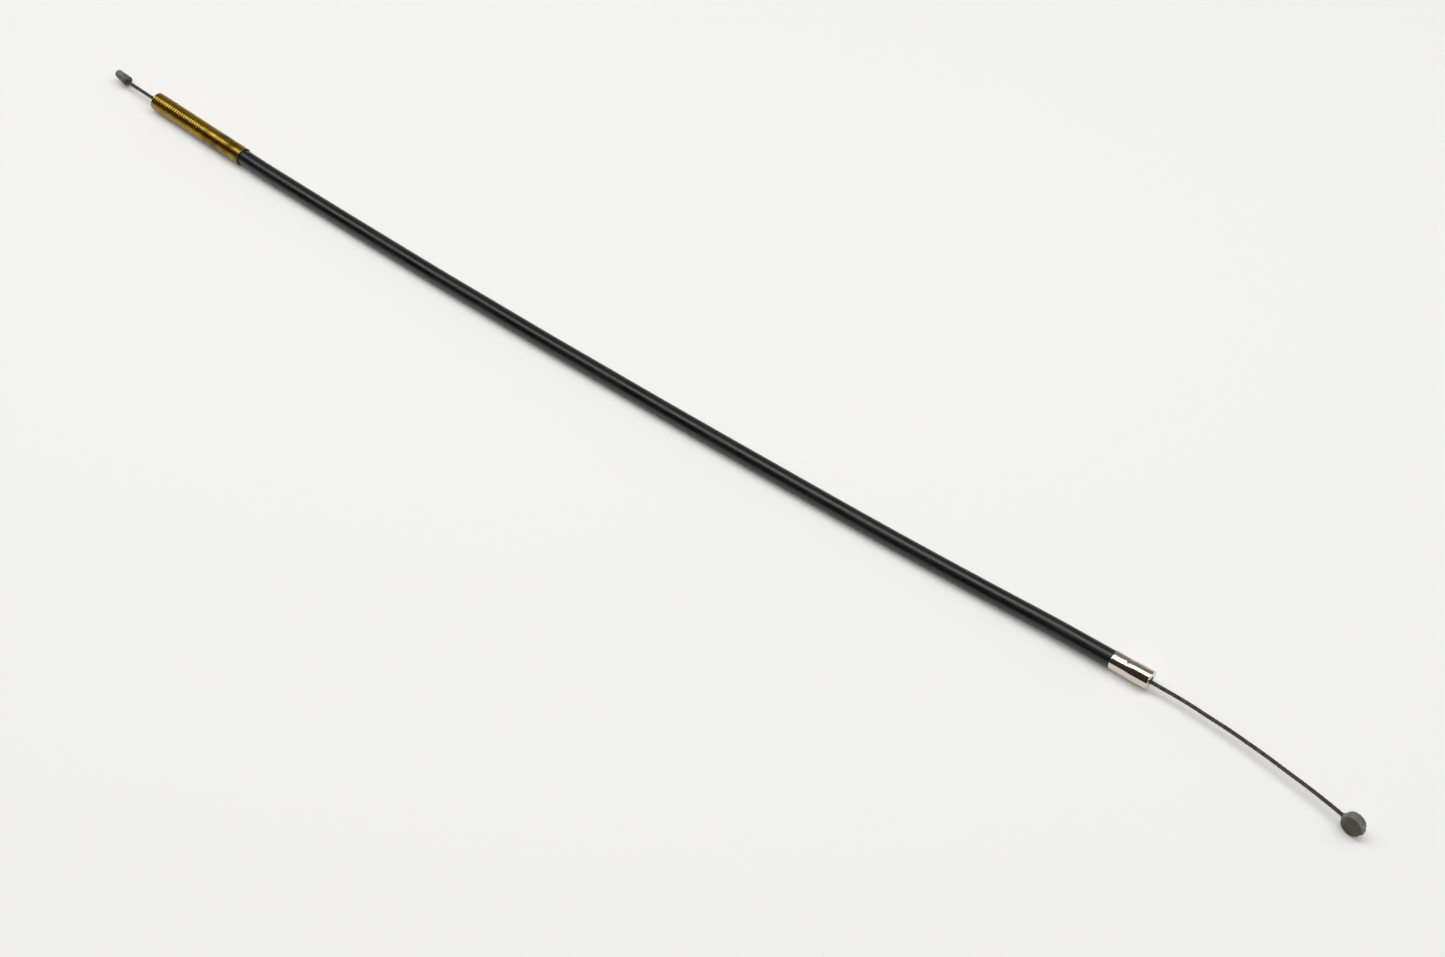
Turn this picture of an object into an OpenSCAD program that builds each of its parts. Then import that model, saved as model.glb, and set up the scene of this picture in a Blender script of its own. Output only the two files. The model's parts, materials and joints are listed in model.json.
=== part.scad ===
// Short pull cable: a stranded inner wire that slides in a spiral-wound, plastic-covered conduit.
// The conduit seats in a threaded brass adjuster sleeve at one end and in a drawn ferrule at the
// other. A small cylindrical nipple and a barrel nipple are cast on the ends of the wire.
//
// Frame: X runs along the axis of the adjuster sleeve towards the barrel nipple, Z is up, and the
// origin is on that axis where the thread meets the plain part. The cable lies on the plane
// z = -thread_d / 2. Sizes are in millimetres and angles in degrees.

/* [Conduit] */
// Outside diameter of the plastic jacket
conduit_d = 5.0; // [4.6:0.1:5.4]
// Wall of the plastic jacket
jacket_wall = 0.7; // [0.5:0.05:0.8]
// Wall of the spiral-wound steel coil under the jacket
coil_wall = 0.5; // [0.4:0.05:0.65]
// Wall of the plastic liner in the coil
liner_wall = 0.2; // [0.15:0.05:0.3]
// Gap between one layer of the conduit and the next
layer_gap = 0.03; // [0.02:0.01:0.05]

/* [Inner wire] */
// Diameter of the stranded inner wire
wire_d = 1.1; // [0.8:0.05:1.2]
// Bare wire between the small nipple and the sleeve
small_wire_len = 13.5; // [8:0.5:16]
// Travel of the wire towards the small nipple, and the straight run of wire outside the ferrule
travel_in = 12; // [6:1:12]
// Gap left between the small nipple's edge and the sleeve when the wire is pulled right out
stop_gap = 0.1; // [0.05:0.05:0.3]
// Spare gap at each hidden cut in the wire, past what the travel needs
cut_gap = 1.5; // [1:0.5:2]

/* [Adjuster sleeve] */
// Outside diameter of the thread
thread_d = 5.8; // [5.8:0.1:7]
// Length of the threaded part, with its lead-in
thread_len = 24.5; // [18:0.5:35]
// Lead-in chamfer at the wire end
lead_in = 1.0; // [0.4:0.1:1.4]
// Length of the plain part
plain_len = 17; // [14:1:22]
// Wall of the plain part round the conduit
sleeve_wall = 0.3; // [0.3:0.05:0.6]
// Depth of the counterbore that the conduit sits in
seat_depth = 14; // [8:1:15]
// Radial running gap between the conduit and the counterbore
turn_gap = 0.1; // [0.05:0.01:0.1]
// Gap between the conduit's end and the floor of the counterbore
seat_gap = 0.1; // [0.05:0.05:0.3]
// Diameter of the passage for the inner wire
passage_d = 2.4; // [1.8:0.1:2.8]
// Chamfer on the edges of the plain end
plain_edge = 0.1; // [0.05:0.05:0.1]

/* [Ferrule] */
// Length of the ferrule
ferrule_len = 11.6; // [9:0.1:14]
// Wall of the ferrule
ferrule_wall = 0.27; // [0.25:0.01:0.4]
// Thickness of the closed end
ferrule_end = 0.6; // [0.4:0.1:1]
// Outer corner radius of the closed end
ferrule_corner = 0.2; // [0.1:0.1:0.9]
// Hole for the inner wire in the closed end
ferrule_hole_d = 2.4; // [2:0.1:2.8]
// Distance from the closed end to where the crimp begins
crimp_from_end = 6.6; // [4:0.2:8]
// Depth of each crimp flat
crimp_depth = 0.14; // [0.05:0.01:0.15]
// Number of crimp flats round the ferrule
crimp_flats = 4; // [2:1:6]
// Turn of the first flat from straight up, towards the side that the wire leans to
crimp_turn = 7; // [0:1:45]

/* [Small nipple] */
// Diameter of the small nipple at the wire end
small_nipple_d = 3.2; // [2.8:0.1:4]
// Diameter that it tapers to at the outer end
small_nipple_tip_d = 2.6; // [2.2:0.1:3.2]
// Length of the small nipple
small_nipple_len = 6.0; // [5:0.1:8]
// Corner radius of the outer end
small_nipple_corner = 0.8; // [0.3:0.1:1]
// Turn of the nipple from the wire's line, as it was cast
small_nipple_skew = 6; // [0:1:8]
// How far it sits to the far side of the wire's line
small_nipple_side = 0.2; // [0:0.05:0.2]
// How far it sits above the wire's line
small_nipple_rise = 0.1; // [0:0.05:0.2]
// Chamfer at the wire end
small_nipple_chamfer = 0.15; // [0.05:0.05:0.3]
// Metal between the end of the wire and the outer end of the nipple
small_nipple_cover = 2.0; // [1.6:0.1:3]

/* [Barrel nipple] */
// Diameter of the barrel nipple
barrel_d = 6.0; // [5:0.1:8]
// Length of the barrel nipple along its own axis
barrel_len = 2.8; // [2.6:0.1:5]
// Chamfer on the rims of the barrel
barrel_chamfer = 0.2; // [0.05:0.05:0.3]
// Diameter of the neck where the wire enters, and of the gate boss opposite
boss_d = 1.9; // [1.5:0.1:2.4]
// How far the neck and the gate boss stand out of the barrel
boss_out = 0.45; // [0.2:0.05:0.8]
// Tilt of the barrel about the wire as it lies
barrel_roll = 7; // [0:1:25]
// Turn of the barrel from square to the wire
barrel_skew = 5; // [0:1:10]

/* [Hidden] */

$fn = 64;
conduit_sides = 12;
wire_sides = 8;
cast_gap = 0.02;            // between a wire and the metal cast round it
corner_step = 15;           // angle between the points of a rounded corner
rest_gap = 0.13;            // least gap between the wire and the liner that it leans on

// Radii of the layers
jacket_r = conduit_d / 2;
coil_r = jacket_r - jacket_wall - layer_gap;
liner_r = coil_r - coil_wall - layer_gap;
wire_r = wire_d / 2;

// Heights at which the pieces lie, and the conduit's seat in the sleeve
floor_z = -thread_d / 2;
ferrule_r = jacket_r + layer_gap + ferrule_wall;
ferrule_z = floor_z + ferrule_r;
barrel_z = floor_z + barrel_d / 2 * cos(barrel_roll) + barrel_len / 2 * sin(barrel_roll);
seat_x = plain_len - seat_depth;

// Travel of the wire
travel_out = small_wire_len - stop_gap - small_nipple_d / 2 * sin(small_nipple_skew);
small_face_x = -thread_len - small_wire_len;
small_tail = 8;             // wire of the small end in the liner, at rest
small_tail_x = seat_x + seat_gap + small_tail;
ferrule_tail = travel_out + ferrule_end;

// Direction in plan, from its heading in degrees
function in_plan(heading) = [cos(heading), sin(heading), 0];

// The ferrule's closed end and its axis
ferrule_mouth = [348, 17.2, ferrule_z];
ferrule_heading = 4;
ferrule_axis = in_plan(ferrule_heading);
straight_start = 7;         // straight stretch of the conduit past the sleeve
straight_end = 30;          // straight stretch of the conduit behind the mouth

// The wire leaves the ferrule at one side of the hole, and slides along its own straight stretch.
// That leans from one side of the liner at the mouth to the other at the tail, when pushed in.
liner_room = (liner_r - liner_wall) * cos(180 / conduit_sides) - wire_r;
wire_side = liner_room - rest_gap;
wire_heading = ferrule_heading - asin(2 * wire_side / (ferrule_tail + travel_in));
wire_axis = in_plan(wire_heading);
wire_mouth = ferrule_mouth + wire_side * in_plan(ferrule_heading - 90);

// The barrel nipple's centre and the direction in which the wire enters it
barrel_centre = [411.7, 13.25, barrel_z];
barrel_heading = -9;
barrel_lead = 4.5;          // straight wire before the centre

// Centre line of the conduit: straight in the sleeve, a long easy bend, straight in the ferrule
conduit_bend = [[42, 0.5, -0.3], [62, 1.0, -0.4], [82, 1.55, -0.4], [102, 2.15, -0.4],
                [122, 2.95, -0.4], [142, 3.75, -0.4], [162, 4.75, -0.4], [182, 5.75, -0.4],
                [202, 6.85, -0.4], [222, 8.05, -0.4], [242, 9.3, -0.4], [262, 10.6, -0.4],
                [282, 12.15, -0.4], [300, 13.6, -0.3]];
conduit_route = concat(
    [for (x = [seat_x + seat_gap, plain_len, plain_len + straight_start]) [x, 0, 0]],
    conduit_bend,
    [for (back = [straight_end, straight_end / 2, ferrule_end + seat_gap])
        ferrule_mouth - back * ferrule_axis]);

// The wire inside the conduit, on every second point of the bend
middle_route = concat(
    [[small_tail_x + travel_out + cut_gap, 0, 0]],
    [for (i = [1:2:len(conduit_bend) - 1]) conduit_bend[i]],
    [ferrule_mouth - (ferrule_tail + travel_in + cut_gap) * ferrule_axis]);

// The wire outside the ferrule: straight for its travel, then a flat bow round to the barrel
wire_bow = [[366, 17.35, -0.1], [372, 17.25, 0], [378, 16.97, 0], [384, 16.55, 0.1],
            [390, 16.0, 0.1], [396, 15.42, 0.2], [402, 14.75, 0.2]];
barrel_wire_route = concat(
    [for (out = [-ferrule_tail, 0, travel_in]) wire_mouth + out * wire_axis],
    wire_bow,
    [for (back = [barrel_lead, 0]) barrel_centre - back * in_plan(barrel_heading)]);

// ---- Swept tubes ----

function unit(v) = v / norm(v);

// Direction of a route at its point i
function along(route, i) = unit(route[min(i + 1, len(route) - 1)] - route[max(i - 1, 0)]);

// Corners of one ring of a tube, square to the route
function ring(route, i, r, sides) =
    let (ahead = along(route, i), left = unit(cross([0, 0, 1], ahead)), up = cross(ahead, left))
    [for (k = [0:sides - 1]) let (a = 360 * (k + 0.5) / sides)
        route[i] + r * (cos(a) * left + sin(a) * up)];

function rings(route, r, sides) =
    [for (i = [0:len(route) - 1], corner = ring(route, i, r, sides)) corner];

// Two triangles for the four-sided face a, b, c, d
function halves(a, b, c, d) = [[a, b, c], [a, c, d]];

// Skin between neighbouring rings, whose first corner has the index base
function skin(base, count, sides, outward) =
    [for (i = [0:count - 2], k = [0:sides - 1])
        let (here = base + i * sides + k, next = base + i * sides + (k + 1) % sides)
        each outward ? halves(here, here + sides, next + sides, next)
                     : halves(here, next, next + sides, here + sides)];

// Flat ring between an outer and an inner ring of corners
function rim(outer, inner, sides, ahead) =
    [for (k = [0:sides - 1]) let (n = (k + 1) % sides)
        each ahead ? halves(outer + k, inner + k, inner + n, outer + n)
                   : halves(outer + k, outer + n, inner + n, inner + k)];

// A tube with a bore, along a route
module hollow_tube(route, r_out, r_in, sides) {
    count = len(route);
    inner = count * sides;
    last = (count - 1) * sides;
    polyhedron(
        points = concat(rings(route, r_out, sides), rings(route, r_in, sides)),
        faces = concat(
            skin(0, count, sides, true),
            skin(inner, count, sides, false),
            rim(0, inner, sides, false),
            rim(last, inner + last, sides, true)),
        convexity = 6);
}

// A solid rod along a route
module rod(route, r, sides) {
    count = len(route);
    last = (count - 1) * sides;
    polyhedron(
        points = rings(route, r, sides),
        faces = concat(
            skin(0, count, sides, true),
            [for (k = [1:sides - 2]) [0, k, k + 1]],
            [for (k = [1:sides - 2]) [last, last + k + 1, last + k]]),
        convexity = 6);
}

// ---- Turned shapes ----

// Turns a profile of [radius, x] points about the X axis
module turned(profile) {
    rotate([0, 90, 0]) rotate_extrude() polygon(profile);
}

// Points of a convex corner of radius c, from a cylinder of radius r to a face at x = end.
// towards is 1 where the face looks along +X and -1 where it looks along -X.
function rounded_corner(r, end, c, towards) =
    [for (a = [0:corner_step:90]) [r - c + c * cos(a), end + towards * c * (sin(a) - 1)]];

// ---- Conduit ----

module conduit_jacket() {
    color("#1c1c1f")
        hollow_tube(conduit_route, jacket_r, coil_r + layer_gap, conduit_sides);
}

module conduit_coil() {
    color("#9a9a98")
        hollow_tube(conduit_route, coil_r, liner_r + layer_gap, conduit_sides);
}

module conduit_liner() {
    color("#e8e6dc")
        hollow_tube(conduit_route, liner_r, liner_r - liner_wall, conduit_sides);
}

// Drawn cup over the end of the jacket, pressed flat in places on the half that grips it
module ferrule() {
    bore_r = jacket_r + layer_gap;
    outside = concat([[ferrule_r, -ferrule_len]], rounded_corner(ferrule_r, 0, ferrule_corner, 1));
    inside = [[ferrule_hole_d / 2, 0], [ferrule_hole_d / 2, -ferrule_end],
              [bore_r, -ferrule_end], [bore_r, -ferrule_len]];
    color("#cfc8ba")
        translate(ferrule_mouth) rotate([0, 0, ferrule_heading])
        difference() {
            turned(concat(outside, inside));
            for (i = [0:crimp_flats - 1])
                rotate([crimp_turn + 360 * i / crimp_flats, 0, 0])
                translate([-ferrule_len - 1, -ferrule_r, ferrule_r - crimp_depth])
                cube([ferrule_len + 1 - crimp_from_end, 2 * ferrule_r, ferrule_r]);
        }
}

// ---- Inner wire ----

module inner_wire_middle() {
    color("#5a5a5a") rod(middle_route, wire_r, wire_sides);
}

module inner_wire_small_end() {
    end_x = small_face_x - small_nipple_len + small_nipple_cover;
    color("#4e4c48")
        translate([end_x, 0, 0]) rotate([0, 90, 0])
        cylinder(h = small_tail_x - end_x, r = wire_r);
}

module inner_wire_barrel_end() {
    color("#555555") rod(barrel_wire_route, wire_r, wire_sides);
}

// ---- Adjuster sleeve ----

module adjuster_sleeve() {
    seat_r = jacket_r + turn_gap;
    plain_r = seat_r + sleeve_wall;
    thread_r = thread_d / 2;
    passage_r = passage_d / 2;
    color("#a8852a")
        turned([
            [passage_r, -thread_len], [thread_r - lead_in, -thread_len],
            [thread_r, lead_in - thread_len], [thread_r, 0],
            [plain_r, 0], [plain_r, plain_len - plain_edge],
            [plain_r - plain_edge, plain_len], [seat_r + plain_edge, plain_len],
            [seat_r, plain_len - plain_edge], [seat_r, seat_x], [passage_r, seat_x]]);
}

// ---- Nipples ----

// Tapered cylinder with a rounded outer end, cast on the wire a little askew
module small_nipple() {
    r = small_nipple_d / 2;
    outer_end = -small_nipple_len;
    hole_depth = small_nipple_len - small_nipple_cover;
    color("#5d6066")
        difference() {
            translate([small_face_x, small_nipple_side, small_nipple_rise])
            rotate([0, 0, -small_nipple_skew])
            turned(concat(
                [[0, 0], [0, outer_end]],
                [for (i = [90 / corner_step:-1:0])
                    rounded_corner(small_nipple_tip_d / 2, outer_end, small_nipple_corner, -1)[i]],
                [[r, -small_nipple_chamfer], [r - small_nipple_chamfer, 0]]));
            translate([small_face_x - hole_depth, 0, 0]) rotate([0, 90, 0])
            cylinder(h = hole_depth + r, r = wire_r + cast_gap);
        }
}

// Short barrel across the wire, with a neck round the wire and a gate boss opposite
module barrel_nipple() {
    r = barrel_d / 2;
    half = barrel_len / 2;
    reach = r + boss_out;
    color("#5b5d55")
        translate(barrel_centre)
        difference() {
            union() {
                rotate([90 - barrel_roll, 0, barrel_heading + barrel_skew])
                rotate_extrude() polygon([
                    [0, -half], [r - barrel_chamfer, -half], [r, barrel_chamfer - half],
                    [r, half - barrel_chamfer], [r - barrel_chamfer, half], [0, half]]);
                along_wire(-reach) cylinder(h = 2 * reach, d = boss_d);
            }
            along_wire(-reach - 1) cylinder(h = reach + 1 + cast_gap, r = wire_r + cast_gap);
        }
}

// Lays what stands on Z along the wire as it enters the barrel, from start
module along_wire(start) {
    rotate([0, 0, barrel_heading]) translate([start, 0, 0]) rotate([0, 90, 0]) children();
}

conduit_jacket();
conduit_coil();
conduit_liner();
ferrule();
inner_wire_middle();
adjuster_sleeve();
small_nipple();
inner_wire_small_end();
barrel_nipple();
inner_wire_barrel_end();
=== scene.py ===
# %% [markdown]
# # A sheathed pull cable
#
# The real object is a short control cable. A stranded wire slides in a black covered conduit. The
# conduit sits in a threaded brass sleeve at one end and in a plated ferrule at the other, and a
# small metal nipple is cast on each end of the wire.
#
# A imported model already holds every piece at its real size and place. This lesson dresses it:
# each piece that shows gets a finer mesh, worked out with numpy in the same place, and a material
# made from nodes. Sizes are in millimetres times MM, because Blender works in metres.

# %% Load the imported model
import json
import math

import bpy
import numpy as np
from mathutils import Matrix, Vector


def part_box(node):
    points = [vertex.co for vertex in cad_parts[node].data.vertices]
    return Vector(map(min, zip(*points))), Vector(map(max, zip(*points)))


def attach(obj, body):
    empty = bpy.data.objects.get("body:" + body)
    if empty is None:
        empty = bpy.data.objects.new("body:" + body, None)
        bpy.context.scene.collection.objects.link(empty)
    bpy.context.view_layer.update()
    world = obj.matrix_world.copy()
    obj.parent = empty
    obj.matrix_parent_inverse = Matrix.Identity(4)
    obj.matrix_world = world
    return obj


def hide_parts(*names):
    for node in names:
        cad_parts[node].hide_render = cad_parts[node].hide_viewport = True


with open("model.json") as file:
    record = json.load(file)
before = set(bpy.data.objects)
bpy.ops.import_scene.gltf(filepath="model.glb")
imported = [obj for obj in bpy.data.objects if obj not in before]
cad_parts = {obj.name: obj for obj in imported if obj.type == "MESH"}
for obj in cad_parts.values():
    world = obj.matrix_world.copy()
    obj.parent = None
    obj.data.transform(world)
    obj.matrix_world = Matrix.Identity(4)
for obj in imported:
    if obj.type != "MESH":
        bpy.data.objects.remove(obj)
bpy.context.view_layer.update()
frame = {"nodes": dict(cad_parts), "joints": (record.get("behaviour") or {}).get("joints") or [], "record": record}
MM = 0.001
print("pieces in the frame:", ", ".join(sorted(frame["nodes"])))

# %% [markdown]
# ## Camera
#
# The camera stands about where a person at the table would hold it: 0.7 m off, looking down at 50
# degrees, and turned so that the cable crosses the frame from corner to corner. The lens is
# worked out from the focal length in pixels, because that is how perspective is measured in an
# image.

# %% Camera
FRAME_WIDTH_PX = 1445
FOCAL_PX = 2500
SENSOR_MM = 36
CAMERA_PLACE = (0.5095, -0.3466, 0.5376)
CAMERA_DOWN, CAMERA_TURN = 50, 40.38

camera = bpy.data.objects.new("camera", bpy.data.cameras.new("camera"))
camera.data.sensor_width = SENSOR_MM
camera.data.lens = SENSOR_MM * FOCAL_PX / FRAME_WIDTH_PX
camera.location = CAMERA_PLACE
camera.rotation_euler = (math.radians(90 - CAMERA_DOWN), 0, math.radians(CAMERA_TURN))
bpy.context.scene.collection.objects.link(camera)
bpy.context.scene.camera = camera
bpy.context.scene.view_settings.view_transform = "Standard"
print(f"lens {camera.data.lens:.1f} mm")

# %% [markdown]
# ## The route of the cable
#
# A cable is a length of something flexible, so its route comes first. It is a short list of
# given points, and a smooth curve goes through them. The conduit is straight where it
# sits in the sleeve and in the ferrule, and the wire is straight as far as it slides. A Bezier
# curve object could carry the tube as well, but the twisted wire needs a cross-section that turns
# as it goes, so both are swept here from arrays, by the same functions.

# %% Points of the routes
PLAIN_LENGTH = 17 * MM
SEAT_START = 3.1 * MM
STRAIGHT_START = 7 * MM
STRAIGHT_END = 30 * MM
FERRULE_MOUTH = np.array([348, 17.2, -0.1]) * MM
FERRULE_END = 0.7 * MM
# Points are x along the sleeve, y to the left of it and z up.
CONDUIT_BEND = np.array([
    [42, 0.5, -0.3], [62, 1.0, -0.4], [82, 1.55, -0.4], [102, 2.15, -0.4],
    [122, 2.95, -0.4], [142, 3.75, -0.4], [162, 4.75, -0.4], [182, 5.75, -0.4],
    [202, 6.85, -0.4], [222, 8.05, -0.4], [242, 9.3, -0.4], [262, 10.6, -0.4],
    [282, 12.15, -0.4], [300, 13.6, -0.3]]) * MM
WIRE_BOW = np.array([
    [366, 17.35, -0.1], [372, 17.25, 0], [378, 16.97, 0], [384, 16.55, 0.1],
    [390, 16.0, 0.1], [396, 15.42, 0.2], [402, 14.75, 0.2]]) * MM
WIRE_OFF_CENTRE = np.array([0.0226, -0.3238, 0]) * MM
WIRE_MOUTH = FERRULE_MOUTH + WIRE_OFF_CENTRE
WIRE_TAIL, WIRE_STRAIGHT = 13.8 * MM, 12 * MM
BARREL_HEADING, BARREL_LEAD = -9, 4.5 * MM

mounts = {m["name"]: m for m in frame["record"]["mounts"]}
slides = {j["name"]: np.array(j["axis"]) for j in frame["joints"]}
FERRULE_AXIS = np.array(mounts["ferrule_body"]["axis"])
BARREL_CENTRE = np.array(mounts["barrel_nipple_body"]["pos_m"])
WIRE_AXIS = slides["barrel_end_slide"]


def in_plan(heading):
    """Level direction: the cosine and sine of its heading in degrees."""
    return np.array([math.cos(math.radians(heading)), math.sin(math.radians(heading)), 0])


conduit_route = np.vstack(
    [[x, 0, 0] for x in (SEAT_START, PLAIN_LENGTH, PLAIN_LENGTH + STRAIGHT_START)]
    + [CONDUIT_BEND]
    + [FERRULE_MOUTH - back * FERRULE_AXIS
       for back in (STRAIGHT_END, STRAIGHT_END / 2, FERRULE_END)])
barrel_wire_route = np.vstack(
    [WIRE_MOUTH + out * WIRE_AXIS for out in (-WIRE_TAIL, 0, WIRE_STRAIGHT)]
    + [WIRE_BOW]
    + [BARREL_CENTRE - back * in_plan(BARREL_HEADING) for back in (BARREL_LEAD, 0)])
print(f"{len(conduit_route)} points on the conduit, {len(barrel_wire_route)} on the wire")

# %% Curve through the points
def length_of(route):
    """Sum of the distances between neighbouring points."""
    return float(np.linalg.norm(np.diff(route, axis=0), axis=1).sum())


def smooth_route(points, step):
    """Points about one step apart on a smooth curve through the given ones.

    Between two neighbours runs the cubic that leaves each point in the direction of the parabola
    through it and its two neighbours, so the curve turns without a kink.
    """
    chord = np.linalg.norm(np.diff(points, axis=0), axis=1)
    knots = np.concatenate([[0], np.cumsum(chord)])
    slope = np.gradient(points, knots, axis=0)
    s = np.linspace(0, knots[-1], int(knots[-1] / step) + 2)
    i = np.clip(np.searchsorted(knots, s, side="right") - 1, 0, len(chord) - 1)
    span = chord[i][:, None]
    t = (s - knots[i])[:, None] / span
    start = (2 * t**3 - 3 * t**2 + 1) * points[i] + (t**3 - 2 * t**2 + t) * span * slope[i]
    end = (3 * t**2 - 2 * t**3) * points[i + 1] + (t**3 - t**2) * span * slope[i + 1]
    return start + end


def swept(route, radius, angle):
    """Points round a route: the route's point, plus the radius times the cosine of the angle to
    the left and its sine upwards. Radius and angle are grids of one row per route point."""
    ahead = np.gradient(route, axis=0)
    ahead /= np.linalg.norm(ahead, axis=1)[:, None]
    left = np.cross([0, 0, 1], ahead)
    left /= np.linalg.norm(left, axis=1)[:, None]
    up = np.cross(ahead, left)
    across = radius * np.cos(angle)
    rise = radius * np.sin(angle)
    return route[:, None] + across[..., None] * left[:, None] + rise[..., None] * up[:, None]


print(f"the conduit is {length_of(smooth_route(conduit_route, MM)) / MM:.0f} mm long")

# %% [markdown]
# ## From a grid of points to a mesh
#
# Every piece below is a surface with two parameters, so it is a grid: rows go along it and
# columns go round it. One helper turns such a grid into a mesh. It closes the columns into rings,
# closes a row that has shrunk to a point into a pole, and turns all faces outwards by the sign of
# the enclosed volume. Sharp edges are marked by angle, so flat ends stay crisp beside smooth
# sides.

# %% Faces of a grid
def grid_corners(rows, columns, loop, poles):
    """Four corner numbers for each face: a point, the next one round, and the two of the next row.
    A row that is a pole has one number throughout."""
    index = np.arange(rows * columns).reshape(rows, columns)
    for pole, row in zip(poles, (0, -1)):
        if pole:
            index[row] = index[row, 0]
    low = index if loop else index[:-1]
    high = np.roll(index, -1, axis=0) if loop else index[1:]
    corners = [low, np.roll(low, -1, axis=1), np.roll(high, -1, axis=1), high]
    return np.stack(corners, axis=-1).reshape(-1, 4)


def grid_uv(along, columns, loop):
    """UV of the same corners: U is the row's distance along, and V the share of a turn round."""
    low = along if loop else along[:-1]
    high = np.roll(along, -1) if loop else along[1:]
    u = np.repeat(np.stack([low, low, high, high], axis=-1), columns, axis=0)
    here = np.tile(np.arange(columns) / columns, len(low))
    there = here + 1 / columns
    return np.stack([u, np.stack([here, there, there, here], axis=-1)], axis=-1)


def look_outwards(points, corners):
    """Whether the faces look outwards: each makes two pyramids with the origin, and the signed
    volumes of all of them add up to more than nothing."""
    a, b, c, d = (points[corners[:, k]] for k in range(4))
    halves = np.einsum("ij,ij->", a, np.cross(b, c)), np.einsum("ij,ij->", a, np.cross(c, d))
    return sum(halves) > 0


print("a tube of 5 rows and 8 columns:", len(grid_corners(5, 8, False, (False, False))), "faces")

# %% Surface helper
def finish_object(name, mesh, material):
    """Links an object that holds the mesh and its material."""
    piece = bpy.data.objects.new(name, mesh)
    bpy.context.scene.collection.objects.link(piece)
    mesh.materials.append(material)
    return piece


def make_surface(name, points, material, loop=False, poles=(False, False), along=None,
                 marks=None, crease=35):
    """An object from a grid of points. loop joins the last row to the first, poles says which end
    rows are single points, and along is the U coordinate of each row, in metres. marks are named
    grids of values for the material to read. An edge bent by more than crease degrees is sharp."""
    rows, columns = points.shape[:2]
    flat = points.reshape(-1, 3)
    corners = grid_corners(rows, columns, loop, poles)
    uv = grid_uv(np.zeros(rows) if along is None else along, columns, loop)
    if not look_outwards(flat, corners):
        corners, uv = corners[:, ::-1], uv[:, ::-1]
    real = corners != np.roll(corners, 1, axis=1)
    used, loops = np.unique(corners[real], return_inverse=True)
    sizes = real.sum(axis=1)

    mesh = bpy.data.meshes.new(name)
    mesh.vertices.add(len(used))
    mesh.vertices.foreach_set("co", flat[used].astype(np.float32).ravel())
    mesh.loops.add(len(loops))
    mesh.loops.foreach_set("vertex_index", loops.astype(np.int32))
    mesh.polygons.add(len(sizes))
    mesh.polygons.foreach_set("loop_start", (np.cumsum(sizes) - sizes).astype(np.int32))
    mesh.polygons.foreach_set("use_smooth", np.ones(len(sizes), bool))
    layer = mesh.uv_layers.new(name="surface")
    layer.data.foreach_set("uv", uv[real].astype(np.float32).ravel())
    for mark, values in (marks or {}).items():
        attribute = mesh.attributes.new(mark, "FLOAT", "POINT")
        attribute.data.foreach_set("value", values.reshape(-1)[used].astype(np.float32))
    mesh.update(calc_edges=True)
    mesh.validate()
    mesh.set_sharp_from_angle(angle=math.radians(crease))
    print(f"{name}: {len(mesh.polygons)} faces")
    return finish_object(name, mesh, material)

# %% Rings and waves
def round_angles(columns):
    """Angles of one ring, evenly spaced, without the last that repeats the first."""
    return np.arange(columns) * 2 * math.pi / columns


def turned(x, radius, columns):
    """Points of a shape turned about the X axis: x as it is, and the radius times the cosine and
    the sine of the angle. x is one value a row, and radius one value a row or a whole grid."""
    angle = round_angles(columns)
    radius = np.broadcast_to(radius if np.ndim(radius) == 2 else np.asarray(radius)[:, None],
                             (len(x), columns))
    across = np.broadcast_to(np.asarray(x)[:, None], radius.shape)
    return np.stack([across, radius * np.cos(angle), radius * np.sin(angle)], axis=-1)


def smoothstep(value, low, high):
    """0 below low, 1 above high, and an S-shaped cubic between."""
    t = np.clip((value - low) / (high - low), 0, 1)
    return t * t * (3 - 2 * t)


def unevenness(points, size, seed, count=9):
    """Soft random dents from -1 to 1: the mean of a few plane waves, each the sine of the distance
    along its own direction in turns of about one size. The directions, the phases and the exact
    lengths come from a seeded generator."""
    chance = np.random.default_rng(seed)
    ways = chance.normal(size=(count, 3))
    ways /= np.linalg.norm(ways, axis=1)[:, None]
    phases = chance.uniform(0, 2 * math.pi, count)
    stretch = chance.uniform(0.7, 1.6, count)
    return np.mean([np.sin((points @ way) * 2 * math.pi * k / size + phase)
                    for way, k, phase in zip(ways, stretch, phases)], axis=0)


print("an S-shaped step, a quarter of the way:", smoothstep(0.25, 0, 1))

# %% [markdown]
# ## Materials
#
# Each finish is a Principled shader with constant settings on its own sockets, and a little
# variation from noise that is measured in millimetres. What several finishes share, patches of
# age and a fine grain, is one node group with two sizes as inputs. The group gives out only masks
# and heights, and each material decides what to do with them. What follows a piece's shape, such
# as the wear on a thread's crest and the painted shade in its roots, comes from a mark that the
# mesh carries, or from its UV, which runs along and round.

# %% Node helpers
def plug(socket, value):
    """Leads another node's output into a socket, or sets the socket to a plain value."""
    if isinstance(value, bpy.types.NodeSocket):
        socket.id_data.links.new(value, socket)
    else:
        socket.default_value = value


def set_inputs(node, **values):
    """Plugs values into a node's inputs by name, with _ for a space."""
    for key, value in values.items():
        plug(node.inputs[key.replace("_", " ")], value)


def add_node(tree, kind, settings=None, **inputs):
    """A new node with its settings, and its inputs plugged."""
    node = tree.nodes.new(kind)
    for key, value in (settings or {}).items():
        setattr(node, key, value)
    set_inputs(node, **inputs)
    return node


def maths(tree, operation, first, second=0.0):
    """The result of a Math node on two values or sockets."""
    node = add_node(tree, "ShaderNodeMath", {"operation": operation})
    plug(node.inputs[0], first)
    plug(node.inputs[1], second)
    return node.outputs[0]


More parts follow.
